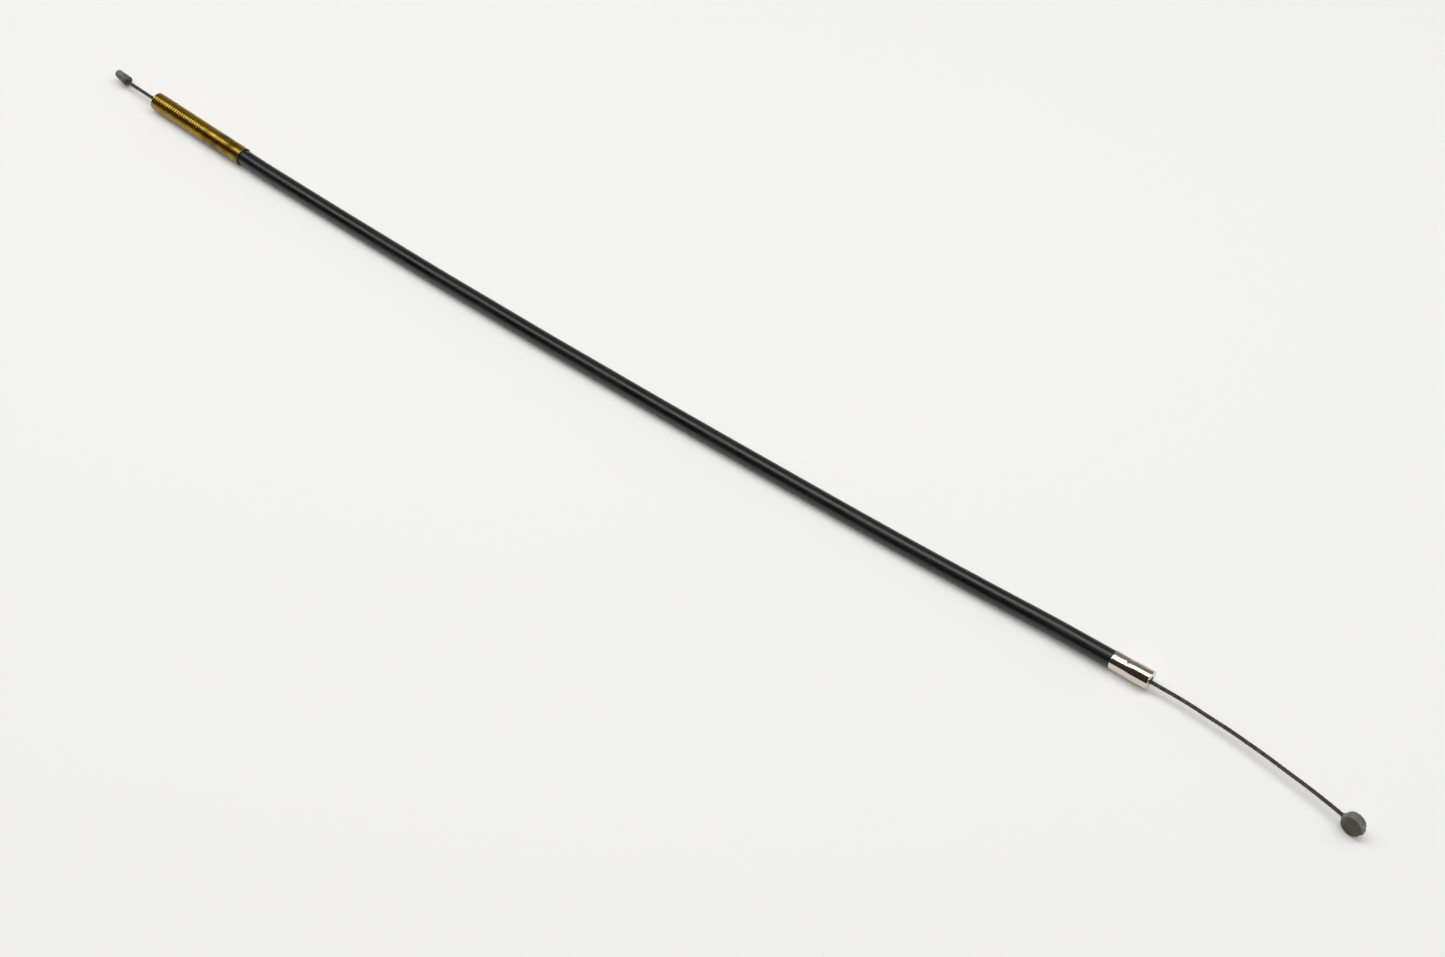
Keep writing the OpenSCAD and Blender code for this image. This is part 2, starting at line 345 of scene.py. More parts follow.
def mixed(tree, factor, first, second):
    """A colour between two: the first where factor is 0 and the second where it is 1."""
    node = add_node(tree, "ShaderNodeMix", {"data_type": "RGBA"})
    plug(node.inputs[0], factor)
    for number, colour in ((6, first), (7, second)):
        plug(node.inputs[number], (*colour, 1) if isinstance(colour, tuple) else colour)
    return node.outputs[2]


def ranged(tree, value, low=0.0, high=1.0, to_low=0.0, to_high=1.0):
    """A value brought from one range to another, and kept inside it."""
    return add_node(tree, "ShaderNodeMapRange", Value=value, From_Min=low, From_Max=high,
                    To_Min=to_low, To_Max=to_high).outputs[0]


print("node helpers ready")

# %% Age and grain group
def age_and_grain_group():
    """Patches: a soft mask of age. Specks: small spots. Grain: a fine height. Sizes in metres."""
    group = bpy.data.node_groups.new("age and grain", "ShaderNodeTree")
    face = group.interface
    for name, size in (("Patch Size", 3 * MM), ("Grain Size", 0.1 * MM)):
        face.new_socket(name, in_out="INPUT", socket_type="NodeSocketFloat").default_value = size
    for name in ("Patches", "Specks", "Grain"):
        face.new_socket(name, in_out="OUTPUT", socket_type="NodeSocketFloat")
    inside = group.nodes.new("NodeGroupInput").outputs
    place = add_node(group, "ShaderNodeTexCoord").outputs["Object"]
    patch_scale = maths(group, "DIVIDE", 1.0, inside["Patch Size"])
    grain_scale = maths(group, "DIVIDE", 1.0, inside["Grain Size"])
    speck_scale = maths(group, "MULTIPLY", patch_scale, 4.0)
    patch = add_node(group, "ShaderNodeTexNoise", Vector=place, Scale=patch_scale,
                     Detail=4.0, Roughness=0.6).outputs[0]
    speck = add_node(group, "ShaderNodeTexNoise", Vector=place, Scale=speck_scale,
                     Detail=2.0).outputs[0]
    grain = add_node(group, "ShaderNodeTexNoise", Vector=place, Scale=grain_scale,
                     Detail=3.0).outputs[0]
    outside = group.nodes.new("NodeGroupOutput")
    results = (ranged(group, patch, low=0.38, high=0.62), ranged(group, speck, low=0.6, high=0.72),
               grain)
    for socket, result in zip(outside.inputs, results):
        plug(socket, result)
    return group


age_and_grain = age_and_grain_group()
print("node group:", age_and_grain.name)

# %% Material helpers
def start_material(name, patch_size, grain_size):
    """A material with a Principled shader and the group in it: its tree, shader and masks."""
    material = bpy.data.materials.new(name)
    material.use_nodes = True
    tree = material.node_tree
    group = add_node(tree, "ShaderNodeGroup", {"node_tree": age_and_grain},
                     Patch_Size=patch_size, Grain_Size=grain_size)
    return material, tree, tree.nodes["Principled BSDF"], group.outputs


def add_bump(tree, shader, height, depth):
    """Leads a height from 0 to 1, depth metres deep, into the shader's normal."""
    bump = add_node(tree, "ShaderNodeBump", Height=height, Distance=depth)
    plug(shader.inputs["Normal"], bump.outputs[0])


def read_mark(tree, name):
    """The values that make_surface stored under a mark's name."""
    return add_node(tree, "ShaderNodeAttribute", {"attribute_name": name}).outputs["Fac"]


def helix_wave(tree, starts, lead):
    """A wave that winds round a piece: the sine of the turns round it times the number of starts,
    plus the distance along it divided by the lead."""
    place = add_node(tree, "ShaderNodeTexCoord").outputs["UV"]
    uv = add_node(tree, "ShaderNodeSeparateXYZ", Vector=place).outputs
    turns = maths(tree, "ADD", maths(tree, "MULTIPLY", uv["Y"], starts),
                  maths(tree, "DIVIDE", uv["X"], lead))
    return maths(tree, "SINE", maths(tree, "MULTIPLY", turns, 2 * math.pi))


print("helpers for materials ready")

# %% [markdown]
# ## Jacket plastic
#
# The jacket is black plastic pressed round the coil as it is made, so it shines a little and the
# coil's turns show through as a faint ripple. One even gloss would look like paint, so the gloss
# changes in patches of about a centimetre. The ripple is a wave on the UV, because a pattern on
# Object coordinates wouldn't follow the cable round its bend.

# %% Black jacket plastic
JACKET = (0.0035, 0.0035, 0.005)
JACKET_PATCH = (0.006, 0.006, 0.008)
COIL_LEAD = 1.7 * MM
RIPPLE = 0.1


def satin_black():
    """Extruded plastic: near black, satin, with a faint ripple where the coil shows through."""
    material, tree, shader, age = start_material("satin black plastic", patch_size=9 * MM,
                                                 grain_size=0.35 * MM)
    set_inputs(shader, Base_Color=mixed(tree, age["Patches"], JACKET, JACKET_PATCH),
               Roughness=ranged(tree, age["Patches"], to_low=0.25, to_high=0.32))
    ripple = maths(tree, "MULTIPLY", helix_wave(tree, 1, COIL_LEAD), RIPPLE)
    add_bump(tree, shader, maths(tree, "ADD", ripple, age["Grain"]), depth=0.008 * MM)
    return material


black = satin_black()
print("material:", black.name)

# %% [markdown]
# ## Brass
#
# The sleeve was bright once. Handling keeps the crests of its thread golden, and the hollows are
# olive brown, partly with tarnish and partly with painted shade. An Ambient Occlusion node could
# look for the hollows, but here the formula of the thread says exactly where they are. So the mesh
# brings the height along as a mark called crest, and the material mixes two brasses by it: a
# golden one and a dark one that is tarnish and painted shade.

# %% Worn brass
# The first colour, for the hollows, is tarnish and painted shade.
BRASS_TARNISH_AND_SHADE = (0.10, 0.060, 0.003)
BRASS_RUBBED = (0.42, 0.268, 0.036)
BRASS_SPECK = (0.09, 0.045, 0.012)
BRASS_SPECK_SHARE = 0.5
PATCH_WEAR = 0.75


def worn_brass():
    """Turned brass gone dull: golden where handling has worn it, olive brown in the hollows with
    tarnish and painted shade, and a little duller in patches."""
    material, tree, shader, age = start_material("worn brass", patch_size=4 * MM,
                                                 grain_size=0.12 * MM)
    rubbed_and_unshaded = maths(tree, "MULTIPLY", read_mark(tree, "crest"),
                   ranged(tree, age["Patches"], to_low=1.0, to_high=PATCH_WEAR))
    # The colour of the hollows is tarnish and painted shade.
    metal = mixed(tree, rubbed_and_unshaded, BRASS_TARNISH_AND_SHADE, BRASS_RUBBED)
    specks = maths(tree, "MULTIPLY", age["Specks"], BRASS_SPECK_SHARE)
    set_inputs(shader, Base_Color=mixed(tree, specks, metal, BRASS_SPECK), Metallic=1.0,
               Roughness=ranged(tree, rubbed_and_unshaded, to_low=0.36, to_high=0.22))
    add_bump(tree, shader, age["Grain"], depth=0.003 * MM)
    return material


brass = worn_brass()
print("material:", brass.name)

# %% [markdown]
# ## Nickel
#
# The ferrule is plated, so what it shows is mostly the room round it: that is made last, with the
# light. The plate itself could be one clean mirror, but years of handling leave a haze. So it
# gets a warm tint, a gloss that changes in soft patches, and a very shallow grain.

# %% Nickel plate
NICKEL = (0.66, 0.60, 0.52)
NICKEL_PATCH = (0.72, 0.67, 0.60)


def nickel_plate():
    """Bright nickel over drawn brass: a warm grey mirror with a faint haze of handling marks."""
    material, tree, shader, age = start_material("nickel plate", patch_size=5 * MM,
                                                 grain_size=0.2 * MM)
    set_inputs(shader, Base_Color=mixed(tree, age["Patches"], NICKEL, NICKEL_PATCH), Metallic=1.0,
               Roughness=ranged(tree, age["Patches"], to_low=0.10, to_high=0.17))
    add_bump(tree, shader, age["Grain"], depth=0.0015 * MM)
    return material


nickel = nickel_plate()
print("material:", nickel.name)

# %% [markdown]
# ## Zinc
#
# The nipples come from a mould and were never polished. Zinc dulls to a blue grey that hardly
# mirrors, so only a fifth of it is metal and the rest a rough plain surface. The pits are a deep
# grain. The olive could be noise too, but it sits in set places, so it follows a mark that each
# nipple brings along: a little everywhere, more near the small nipple's wire, and painted shade
# under the small nipple and on the barrel's near face.

# %% Cast zinc
ZINC, ZINC_PATCH = (0.205, 0.222, 0.220), (0.120, 0.128, 0.118)
# The stained colours also paint shade, under the small nipple and on the barrel's near face.
STAINED_AND_SHADED, STAINED_AND_SHADED_PATCH = (0.078, 0.075, 0.051), (0.056, 0.052, 0.033)
ZINC_SPECK = (0.06, 0.045, 0.035)
ZINC_SPECK_SHARE = 0.6


def cast_zinc():
    """Die-cast zinc left as it came: dull blue grey with a pitted skin, olive by a mark that is
    partly stains and partly painted shade.
    """
    material, tree, shader, age = start_material("cast zinc", patch_size=2.2 * MM,
                                                 grain_size=0.22 * MM)
    clean = mixed(tree, age["Patches"], ZINC, ZINC_PATCH)
    stained_and_shaded = mixed(tree, age["Patches"], STAINED_AND_SHADED, STAINED_AND_SHADED_PATCH)
    # The mark's olive is partly stains and partly painted shade.
    metal = mixed(tree, read_mark(tree, "stain_and_shade"), clean, stained_and_shaded)
    specks = maths(tree, "MULTIPLY", age["Specks"], ZINC_SPECK_SHARE)
    set_inputs(shader, Base_Color=mixed(tree, specks, metal, ZINC_SPECK), Metallic=0.2,
               Specular_IOR_Level=0.35,
               Roughness=ranged(tree, age["Grain"], low=0.3, high=0.7, to_low=0.38, to_high=0.55))
    add_bump(tree, shader, age["Grain"], depth=0.03 * MM)
    return material


zinc = cast_zinc()
print("material:", zinc.name)

# %% [markdown]
# ## Steel strand
#
# The wire is twisted from strands, and each strand from thinner wires. The strands are real
# geometry further down. The thin wires are about a tenth of a millimetre apart, too fine to be
# worth faces, so they are a wave on the UV that is led to the bump. A mark called crest darkens
# the gaps between the strands: painted shade.

# %% Strand steel
# The colour of the gaps between the strands is painted shade.
STEEL_GAP_SHADE = (0.012, 0.011, 0.010)
STEEL = (0.115, 0.112, 0.110)
STEEL_PATCH = (0.070, 0.066, 0.056)
STRANDS = 6
FINE_WIRES = 7
FINE_LEAD = -2.2 * MM


def strand_steel():
    """Steel wire, dark with oil, and near black in the gaps between the strands as painted shade.
    Fine lines show the thin wires that each strand is made of.
    """
    material, tree, shader, age = start_material("strand steel", patch_size=1.5 * MM,
                                                 grain_size=0.08 * MM)
    metal = mixed(tree, age["Patches"], STEEL, STEEL_PATCH)
    # Painted shade: the gaps between the strands go near black.
    set_inputs(shader, Base_Color=mixed(tree, read_mark(tree, "crest"), STEEL_GAP_SHADE, metal),
               Metallic=0.8, Roughness=0.45)
    add_bump(tree, shader, helix_wave(tree, STRANDS * FINE_WIRES, FINE_LEAD), depth=0.006 * MM)
    return material


steel = strand_steel()
print("material:", steel.name)

# %% [markdown]
# ## What is inside
#
# The coil and the liner don't show, but they are there for anyone who takes the cable apart. New
# strip and new plastic are even, with a fine grain and slight patches, so one function makes
# both, from a colour, a gloss and the depth of the grain.

# %% Hidden materials
PATCH_SHADE = 0.8


def plain_finish(name, colour, metallic, roughness, depth):
    """A plain finish for a piece inside the conduit: one colour, a grain and slight patches."""
    material, tree, shader, age = start_material(name, patch_size=4 * MM, grain_size=0.15 * MM)
    darker = tuple(PATCH_SHADE * value for value in colour)
    set_inputs(shader, Base_Color=mixed(tree, age["Patches"], colour, darker), Metallic=metallic,
               Roughness=roughness)
    add_bump(tree, shader, age["Grain"], depth)
    return material


coil_steel = plain_finish("coil steel", (0.45, 0.44, 0.43), metallic=1.0, roughness=0.35,
                          depth=0.004 * MM)
liner_plastic = plain_finish("liner plastic", (0.75, 0.73, 0.68), metallic=0.0, roughness=0.4,
                             depth=0.003 * MM)
print("materials:", ", ".join(material.name for material in (coil_steel, liner_plastic)))

# %% [markdown]
# ## Conduit
#
# The jacket is an extruded plastic tube. A curve with a bevel would give the same outside, but no
# bore, and the ripple needs a UV in metres. So its outer skin and its bore are swept along the
# same route, and the grid runs out along one and back along the other: then the ends close by
# themselves.

# %% Conduit cover
COVER_RADIUS = 2.5 * MM
COVER_BORE = 1.8 * MM
COVER_COLUMNS = 48
ROUTE_STEP = 1.0 * MM


def conduit_cover():
    """Two tubes of constant radius on one route, joined at both ends."""
    route = smooth_route(conduit_route, ROUTE_STEP)
    angle = np.tile(round_angles(COVER_COLUMNS), (len(route), 1))
    skin = swept(route, np.full(angle.shape, COVER_RADIUS), angle)
    bore = swept(route, np.full(angle.shape, COVER_BORE), angle)
    along = np.linspace(0, length_of(route), len(route))
    piece = make_surface("conduit_cover", np.vstack([skin, bore[::-1]]), black, loop=True,
                         along=np.concatenate([along, along[::-1]]))
    return piece, route


cover, cover_route = conduit_cover()
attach(cover, "conduit")
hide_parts("conduit_jacket")

# %% [markdown]
# ## Inner wire
#
# The inner wire is six strands laid round a seventh. Seven twisted tubes would show no more than
# their common outline, which is six arcs. So the radius at any angle is where a ray from the
# middle leaves the strand that it meets. The outline turns once in each lay length, and the grid
# turns with it: then the crests run along the columns and stay sharp.

# %% Stranded wire
WIRE_RADIUS = 0.55 * MM
GAP_RADIUS, TOP_RADIUS = 0.6 * WIRE_RADIUS, 0.9 * WIRE_RADIUS
LAY = 8 * MM
COLUMNS_A_STRAND = 8
WIRE_COLUMNS = STRANDS * COLUMNS_A_STRAND
WIRE_STEP = 0.25 * MM


def strand_outline(angle, radius, strands):
    """Radius of a rope's outline: (R - b) cos d + root of (b squared - ((R - b) sin d) squared),
    where b is a strand's radius and d the angle to the middle of the nearest strand."""
    b = radius / 3
    d = (angle * strands / (2 * math.pi) + 0.5) % 1 - 0.5
    d = d * 2 * math.pi / strands
    inside = np.clip(b**2 - ((radius - b) * np.sin(d))**2, 0, None)
    return (radius - b) * np.cos(d) + np.sqrt(inside)


def stranded_wire(name, points):
    """A rope's outline swept along a route and turned once in each lay, with closed ends. The
    mark called crest is 0 in the gaps between the strands and 1 on their tops; the material paints
    shade in the gaps by it."""
    route = smooth_route(points, WIRE_STEP)
    along = np.linspace(0, length_of(route), len(route))
    angle = np.tile(round_angles(WIRE_COLUMNS), (len(route), 1))
    radius = strand_outline(angle, WIRE_RADIUS, STRANDS)
    grid = swept(route, radius, angle + along[:, None] * 2 * math.pi / LAY)
    first, last = (np.broadcast_to(route[k], grid[:1].shape) for k in (0, -1))
    crest = smoothstep(radius, GAP_RADIUS, TOP_RADIUS)
    piece = make_surface(name, np.vstack([first, grid, last]), steel, poles=(True, True),
                         along=np.concatenate([[0], along, along[-1:]]), crease=60,
                         marks={"crest": np.vstack([crest[:1], crest, crest[-1:]])})
    return piece, route


small_wire_low, small_wire_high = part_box("inner_wire_small_end")
small_wire_points = np.linspace((small_wire_low.x, 0, 0), (small_wire_high.x, 0, 0), 4)
small_wire, small_route = stranded_wire("small_end_wire", small_wire_points)
barrel_wire, barrel_route = stranded_wire("barrel_end_wire", barrel_wire_route)
for piece, body, node in ((small_wire, "small_end", "inner_wire_small_end"),
                          (barrel_wire, "barrel_end", "inner_wire_barrel_end")):
    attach(piece, body)
    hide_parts(node)
print(f"wire: {length_of(small_route) / MM:.1f} and {length_of(barrel_route) / MM:.1f} mm")

# %% [markdown]
# ## Adjuster sleeve
#
# The sleeve is turned from brass bar. A fine thread covers the wire end and the rest is plain. A
# Screw modifier could wind the thread, but it would still have to be joined to the tube and faded
# out. Here the thread is part of the radius: its height depends on how far the helix has turned,
# which is the place along the sleeve divided by the pitch, less the angle round it. Towards the
# plain part its depth goes to nothing over a turn and a half. The profile is walked once round
# the wall, so the passage for the wire, the counterbore for the conduit and both ends are real.
# The mark called crest is high on the thread's crests and in soft patches on the plain part;
# where it is low, in the roots and inside, the dark colour is tarnish and painted shade.

# %% Sleeve sizes
PITCH = 1.0 * MM
THREAD_RADIUS = mounts["adjuster_thread"]["dims"]["r_mm"] * MM
THREAD_DEPTH = 0.3 * MM
LEAD_IN = 1.0 * MM
PLAIN_RADIUS = 2.9 * MM
COUNTERBORE = 2.6 * MM
COUNTERBORE_START = 3.0 * MM
PASSAGE = 1.2 * MM
PLAIN_EDGE = 0.1 * MM
RUN_OUT = 1.6 * MM
CREST_SHARE = 0.32
WEAR_SIZE = 5 * MM
WEAR_MEAN, WEAR_SPREAD, INSIDE_CREST = 0.5, 0.8, 0.1
SLEEVE_COLUMNS = 72
ROWS_A_PITCH = 18
PLAIN_ROWS = 60
sleeve_low, sleeve_high = (corner.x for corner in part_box("adjuster_sleeve"))
print(f"sleeve from {sleeve_low / MM:.1f} to {sleeve_high / MM:.1f} mm")

# %% Thread
def thread_height(x, angle):
    """Height of the thread from 0 in the root to 1 on the crest: a triangle wave of the helix's
    phase, through a smooth step that is up early, as the crests of a worn thread are broad."""
    phase = (x / PITCH - angle / (2 * math.pi)) % 1
    wave = 1 - np.abs(2 * phase - 1)
    return smoothstep(wave, 0, CREST_SHARE)


def sleeve_surface():
    """One closed walk round the wall. Outside, the radius is the full one less the thread's depth
    where the thread isn't at its height, and no more than the chamfer's at the wire end."""
    thread_x = np.arange(sleeve_low, RUN_OUT, PITCH / ROWS_A_PITCH)
    plain_x = np.linspace(RUN_OUT, sleeve_high - PLAIN_EDGE, PLAIN_ROWS)
    outside_x = np.concatenate([thread_x, plain_x])
    inside = np.array([
        [sleeve_high, PLAIN_RADIUS - PLAIN_EDGE], [sleeve_high, COUNTERBORE + PLAIN_EDGE],
        [sleeve_high - PLAIN_EDGE, COUNTERBORE], [COUNTERBORE_START, COUNTERBORE],
        [COUNTERBORE_START, PASSAGE], [sleeve_low, PASSAGE]])
    angle = round_angles(SLEEVE_COLUMNS)
    x = outside_x[:, None]
    full = np.where(x < 0, THREAD_RADIUS, PLAIN_RADIUS)
    chamfer = THREAD_RADIUS - LEAD_IN + (x - sleeve_low)
    cut = 1 - smoothstep(x, 0, RUN_OUT)
    height = thread_height(x, angle)
    threaded = full - THREAD_DEPTH * cut * (1 - height)
    skin = np.minimum(threaded, chamfer)
    radius = np.vstack([skin, np.tile(inside[:, 1:], (1, SLEEVE_COLUMNS))])
    places = np.concatenate([outside_x, inside[:, 0]])
    patches = unevenness(turned(outside_x, skin, SLEEVE_COLUMNS), WEAR_SIZE, seed=4)
    worn = WEAR_MEAN + WEAR_SPREAD * patches
    # Low values, in the roots of the thread and inside, take the dark colour: tarnish and painted shade.
    crest = np.vstack([worn + (height**2 - worn) * cut,
                       np.full((len(inside), SLEEVE_COLUMNS), INSIDE_CREST)])
    return make_surface("threaded_sleeve", turned(places, radius, SLEEVE_COLUMNS), brass,
                        loop=True, marks={"crest": crest})


sleeve = sleeve_surface()
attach(sleeve, "adjuster")
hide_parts("adjuster_sleeve")

# %% [markdown]
# ## Ferrule
#
# The ferrule is a cup drawn from sheet, plated, and squeezed on the conduit by a crimping tool.
# Its wall is walked like the sleeve's. Four jaws have flattened the half that grips the conduit,
# and the rest stays round, with a narrow waist between. The dents could be sculpted, but as dips
# in the radius they stay even, and each has a number that can be changed.

# %% Ferrule
FERRULE_RADIUS = mounts["ferrule_body"]["dims"]["r_mm"] * MM
FERRULE_LENGTH = 11.6 * MM
FERRULE_BORE = 2.53 * MM
FERRULE_FLOOR = 0.6 * MM
FERRULE_HOLE = 1.2 * MM
FERRULE_CORNER = 0.2 * MM
RIM_ROUND = 0.08 * MM
CRIMP_START = 6.6 * MM
CRIMP_FADE = 1.0 * MM
CRIMP_DEPTH = 0.16 * MM
CRIMP_HALF_ANGLE = 26
CRIMP_SIDES = (7, 97, 187, 277)
WAIST_FROM_END = 6.8 * MM
WAIST_WIDTH = 0.9 * MM
WAIST_DEPTH = 0.07 * MM
RIM_ROWS, FERRULE_ROWS, CORNER_ROWS = 5, 90, 10
FERRULE_COLUMNS = 96


def arc(centre_x, centre_r, size, start, end, count):
    """Points [x, radius] on a round corner: its centre plus its size times the cosine along x and
    the sine outwards, from one angle in degrees to another."""
    angle = np.radians(np.linspace(start, end, count))
    return np.stack([centre_x + size * np.cos(angle), centre_r + size * np.sin(angle)], axis=-1)


def ferrule_surface():
    """A closed walk round the cup's wall. Its outside dips by the crimp's depth times a bell of
    the angle round each of four sides, and by the waist's depth times a bell of the distance
    along. Then it is moved to its place."""
    rim = arc(-FERRULE_LENGTH + RIM_ROUND, FERRULE_RADIUS - RIM_ROUND, RIM_ROUND, 180, 90,
              RIM_ROWS)
    side = np.linspace((-FERRULE_LENGTH + 2 * RIM_ROUND, FERRULE_RADIUS),
                       (-FERRULE_CORNER, FERRULE_RADIUS), FERRULE_ROWS)[:-1]
    corner = arc(-FERRULE_CORNER, FERRULE_RADIUS - FERRULE_CORNER, FERRULE_CORNER, 90, 0,
                 CORNER_ROWS)
    inside = np.array([
        [0, FERRULE_HOLE + RIM_ROUND], [-RIM_ROUND, FERRULE_HOLE], [-FERRULE_FLOOR, FERRULE_HOLE],
        [-FERRULE_FLOOR, FERRULE_BORE], [-FERRULE_LENGTH, FERRULE_BORE]])
    walk = np.vstack([rim, side, corner, inside])
    angle = round_angles(FERRULE_COLUMNS)
    x, radius = walk[:, :1], walk[:, 1:]
    over_cover = 1 - smoothstep(x, -CRIMP_START - CRIMP_FADE, -CRIMP_START)
    from_sides = (np.degrees(angle)[:, None] - np.array(CRIMP_SIDES) + 180) % 360 - 180
    flats = np.exp(-(from_sides / CRIMP_HALF_ANGLE)**2).sum(axis=1)
    waist = np.exp(-((x + WAIST_FROM_END) / WAIST_WIDTH)**2)
    outer = smoothstep(radius, FERRULE_BORE, FERRULE_RADIUS)
    dipped = radius - outer * (CRIMP_DEPTH * over_cover * flats + WAIST_DEPTH * waist)
    grid = turned(walk[:, 0], dipped, FERRULE_COLUMNS)
    side_axis = np.cross([0, 0, 1], FERRULE_AXIS)
    placed = (FERRULE_MOUTH + grid[..., :1] * FERRULE_AXIS + grid[..., 1:2] * side_axis
              + grid[..., 2:] * np.array([0, 0, 1]))
    return make_surface("plated_ferrule", placed, nickel, loop=True)


ferrule = ferrule_surface()
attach(ferrule, "conduit")
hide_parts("ferrule")

# %% [markdown]
# ## Nipples
#
# Both nipples are cast on the wire, so their edges are soft and their skin is uneven. The small
# one tapers a little and sits askew. The barrel lies across the wire, not quite square to it,
# with a neck where the wire enters and the stub of the gate on the far side. A cylinder joined to
# two stubs by a Boolean modifier would have hard seams there. So the barrel's side rises smoothly
# into both, as a height that depends on the distance from the wire's line. A mark turns the zinc
# olive: on the small one it is high near the wire, and high underneath as painted shade; on the
# barrel it is high on the near face, as painted shade.

# %% Small nipple
SMALL_RADIUS = mounts["small_nipple_body"]["dims"]["r_mm"] * MM
SMALL_TIP_RADIUS = 1.3 * MM
SMALL_LENGTH = mounts["small_nipple_body"]["dims"]["length_mm"] * MM
SMALL_CENTRE = np.array(mounts["small_nipple_body"]["pos_m"])
SMALL_AXIS = np.array(mounts["small_nipple_body"]["axis"])
SMALL_CORNER = 0.8 * MM
SMALL_EDGE = 0.15 * MM
SMALL_DENT = 1.8 * MM
CAST_UNEVEN = 0.02 * MM
EDGE_ROWS, TIP_ROUND_ROWS, TAPER_ROWS, BASE_ROWS, TIP_ROWS = 6, 14, 40, 12, 8
SMALL_COLUMNS = 64
WIRE_DARKENING_FULL, WIRE_DARKENING_END = 0.3 * MM, 2.2 * MM
UNDER_SHADE_FULL, UNDER_SHADE_END = 0.1, 0.8
STAIN_EVERYWHERE, DARKENING_EACH = 0.2, 0.4


def small_nipple_surface():
    """A tapered cylinder with a rounded outer end and soft dents, turned about X from 0 out to its
    length, then laid along its own axis. The mark adds up where it is near the wire, low down,
    where it is painted shade, and both."""
    near = arc(SMALL_EDGE, SMALL_RADIUS - SMALL_EDGE, SMALL_EDGE, 180, 90, EDGE_ROWS)
    outer = arc(SMALL_LENGTH - SMALL_CORNER, SMALL_TIP_RADIUS - SMALL_CORNER, SMALL_CORNER, 90, 0,
                TIP_ROUND_ROWS)
    base = np.linspace((0, 0), near[0], BASE_ROWS)[:-1]
    side = np.linspace(near[-1], outer[0], TAPER_ROWS)[1:-1]
    tip = np.linspace(outer[-1], (SMALL_LENGTH, 0), TIP_ROWS)[1:]
    walk = np.vstack([base, near, side, outer, tip])
    grid = turned(walk[:, 0], walk[:, 1], SMALL_COLUMNS)
    dents = unevenness(grid, SMALL_DENT, seed=3) * CAST_UNEVEN
    grid[..., 1:] *= 1 + (dents / SMALL_RADIUS)[..., None]
    grid[..., 0] -= SMALL_LENGTH / 2
    across = np.cross([0, 0, 1], SMALL_AXIS)
    placed = SMALL_CENTRE + grid @ np.array([SMALL_AXIS, across, [0, 0, 1]])
    at_wire = 1 - smoothstep(walk[:, :1], WIRE_DARKENING_FULL, WIRE_DARKENING_END)
    # Darker low down: painted shade on the underside.
    underside_shade = 1 - smoothstep(grid[..., 2] / SMALL_RADIUS, UNDER_SHADE_FULL, UNDER_SHADE_END)
    stain_and_shade = STAIN_EVERYWHERE + DARKENING_EACH * (at_wire + underside_shade + at_wire * underside_shade)
    return make_surface("small_end_nipple", placed, zinc, poles=(True, True),
                        marks={"stain_and_shade": stain_and_shade})


small_nipple = small_nipple_surface()
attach(small_nipple, "small_end")
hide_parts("small_nipple")

# %% Barrel nipple
BARREL_RADIUS = mounts["barrel_nipple_body"]["dims"]["r_mm"] * MM
BARREL_HALF = mounts["barrel_nipple_body"]["dims"]["length_mm"] * MM / 2
BARREL_EDGE = 0.25 * MM
BARREL_SKEW = 5
STUB_RADIUS = 0.95 * MM
STUB_SOFT = 0.25
STUB_OUT = 0.45 * MM
BARREL_DENT = 2.6 * MM
FACE_ROWS, BARREL_EDGE_ROWS, BARREL_ROWS = 16, 8, 44
BARREL_COLUMNS = 224
FACE_SHADE_DEPTH = 0.5 * MM
WIRE_SIDE_FULL, WIRE_SIDE_END = -2.6 * MM, -1.2 * MM
SIDE_STAIN, WIRE_SIDE_SHADE = 0.1, 0.45


def barrel_surface():
    """The barrel in its own frame: x nearly along the wire, y along the barrel. The side's radius
    is the barrel's, plus the stub's height within a stub's radius of the wire's line."""
    flat = BARREL_RADIUS - BARREL_EDGE
    near = arc(-BARREL_HALF + BARREL_EDGE, flat, BARREL_EDGE, 180, 90, BARREL_EDGE_ROWS)
    far = arc(BARREL_HALF - BARREL_EDGE, flat, BARREL_EDGE, 90, 0, BARREL_EDGE_ROWS)
    near_face = np.linspace((-BARREL_HALF, 0), (-BARREL_HALF, flat), FACE_ROWS)[:-1]
    side = np.linspace(near[-1], far[0], BARREL_ROWS)[1:-1]
    far_face = np.linspace((BARREL_HALF, flat), (BARREL_HALF, 0), FACE_ROWS)[1:]
    walk = np.vstack([near_face, near, side, far, far_face])
    angle = round_angles(BARREL_COLUMNS)
    y, radius = walk[:, :1], walk[:, 1:]
    skew = math.radians(BARREL_SKEW)
    off_line = y * math.cos(skew) + radius * np.cos(angle) * math.sin(skew)
    from_line = np.hypot(off_line, radius * np.sin(angle))
    on_side = smoothstep(radius, flat, BARREL_RADIUS)
    stub = 1 - smoothstep(from_line / STUB_RADIUS, 1 - STUB_SOFT, 1 + STUB_SOFT)
    out = radius + STUB_OUT * stub * on_side
    grid = np.stack([out * np.cos(angle), np.broadcast_to(y, out.shape), out * np.sin(angle)],
                    axis=-1)
    dents = unevenness(grid, BARREL_DENT, seed=8) * CAST_UNEVEN
    return grid * (1 + (dents / BARREL_RADIUS)[..., None])


def place_barrel(grid):
    """Turns the barrel's own axes to its heading and roll, and moves it to its centre."""
    y_axis = -np.array(mounts["barrel_nipple_body"]["axis"])
    x_axis = in_plan(BARREL_HEADING + BARREL_SKEW)
    z_axis = np.cross(x_axis, y_axis)
    return BARREL_CENTRE + grid @ np.array([x_axis, y_axis, z_axis])


